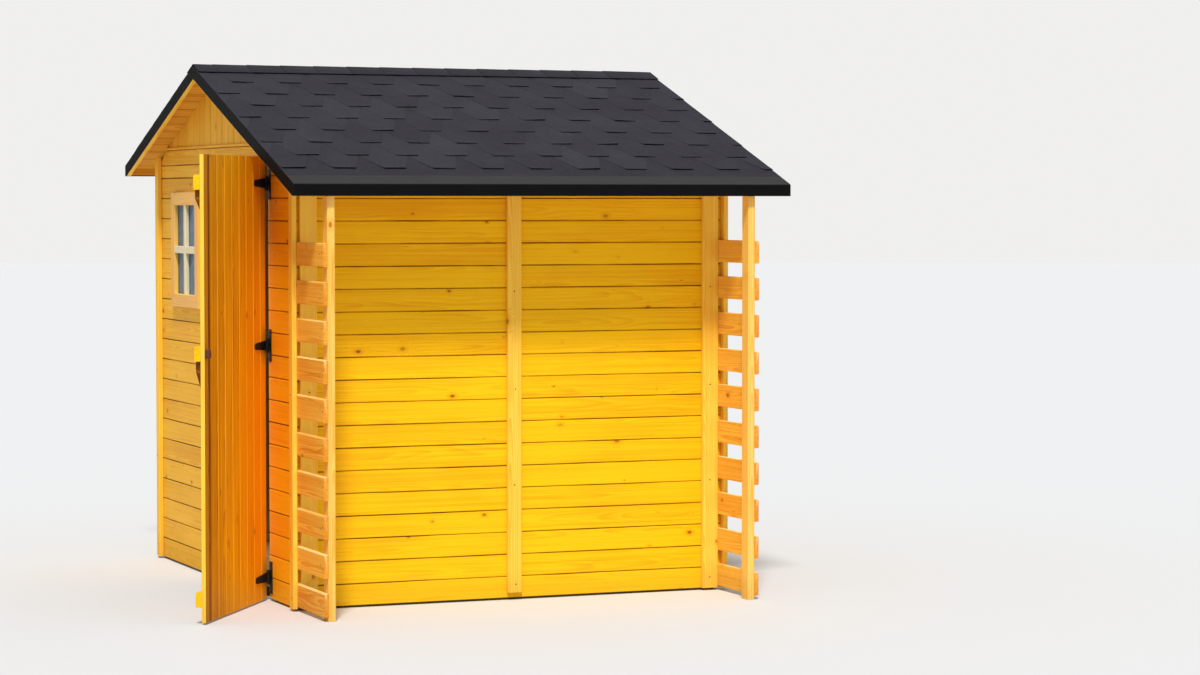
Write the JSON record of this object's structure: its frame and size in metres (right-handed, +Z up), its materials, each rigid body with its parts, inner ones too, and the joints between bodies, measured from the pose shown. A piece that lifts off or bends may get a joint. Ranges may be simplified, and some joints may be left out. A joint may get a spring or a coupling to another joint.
{
  "type": "wooden tool shed",
  "caption": "Small timber garden shed with a shingled gable roof, a ledged side door, a barred window and an open slatted store along its front.",
  "frame": {"origin": "under the middle of the enclosed body, on the underside of the middle floor bearer", "axes": "+X along the ridge to the right, +Y from the slatted store's side to the rear wall, +Z up"},
  "size_m": [2.4416, 2.591, 2.1889],
  "materials": {
    "stained_pine": "golden translucent stain on planed pine",
    "frame_timber": "planed bare softwood",
    "floor_timber": "planed bare softwood, lightly worn",
    "bearer_timber": "pressure-treated softwood",
    "white_paint": "white painted glazing bars",
    "window_glass": "clear window pane",
    "black_sheet_metal": "black coated folded sheet",
    "bitumen_shingle": "charcoal mineral granules on bitumen",
    "black_ironwork": "black powder-coated steel"
  },
  "bodies": {
    "shed": {"floor_bearers": "bearer_timber", "floor_boards": "floor_timber", "sole_plates": "frame_timber", "front_wall_studs": "frame_timber", "rear_wall_studs": "frame_timber", "left_wall_studs": "frame_timber", "right_wall_studs": "frame_timber", "window_rails": "frame_timber", "wall_plates": "frame_timber", "tie_beams": "frame_timber", "ridge_beam": "frame_timber", "front_rafters": "frame_timber", "rear_rafters": "frame_timber", "store_beam": "stained_pine", "front_wall_boards": "stained_pine", "rear_wall_boards": "stained_pine", "right_wall_boards": "stained_pine", "left_wall_boards_front": "stained_pine", "left_wall_boards_head": "stained_pine", "left_wall_boards_rear": "stained_pine", "gable_boards": "stained_pine", "drip_rails": "stained_pine", "corner_trims": "stained_pine", "wall_battens": "stained_pine", "store_posts": "stained_pine", "left_store_slats": "stained_pine", "right_store_slats": "stained_pine", "window_casing": "stained_pine", "window_bars": "white_paint", "window_glass": "window_glass", "front_roof_boards": "stained_pine", "rear_roof_boards": "stained_pine", "eave_fascias": "stained_pine", "bargeboards": "stained_pine", "eave_flashings": "black_sheet_metal", "verge_flashings": "black_sheet_metal", "front_shingles": "bitumen_shingle", "rear_shingles": "bitumen_shingle", "ridge_cap": "bitumen_shingle", "hinge_plates": "black_ironwork"},
    "door": {"door_boards": "stained_pine", "door_ledges": "stained_pine", "door_braces": "stained_pine", "door_latch": "black_ironwork", "hinge_straps": "black_ironwork"}
  },
  "joints": [
    {"name": "door_hinge", "type": "hinge", "parent": "shed", "child": "door", "pos_m": [-0.9255, -0.6755, 0], "axis": [0, 0, 1], "range_deg": [-146, 8]}
  ]
}
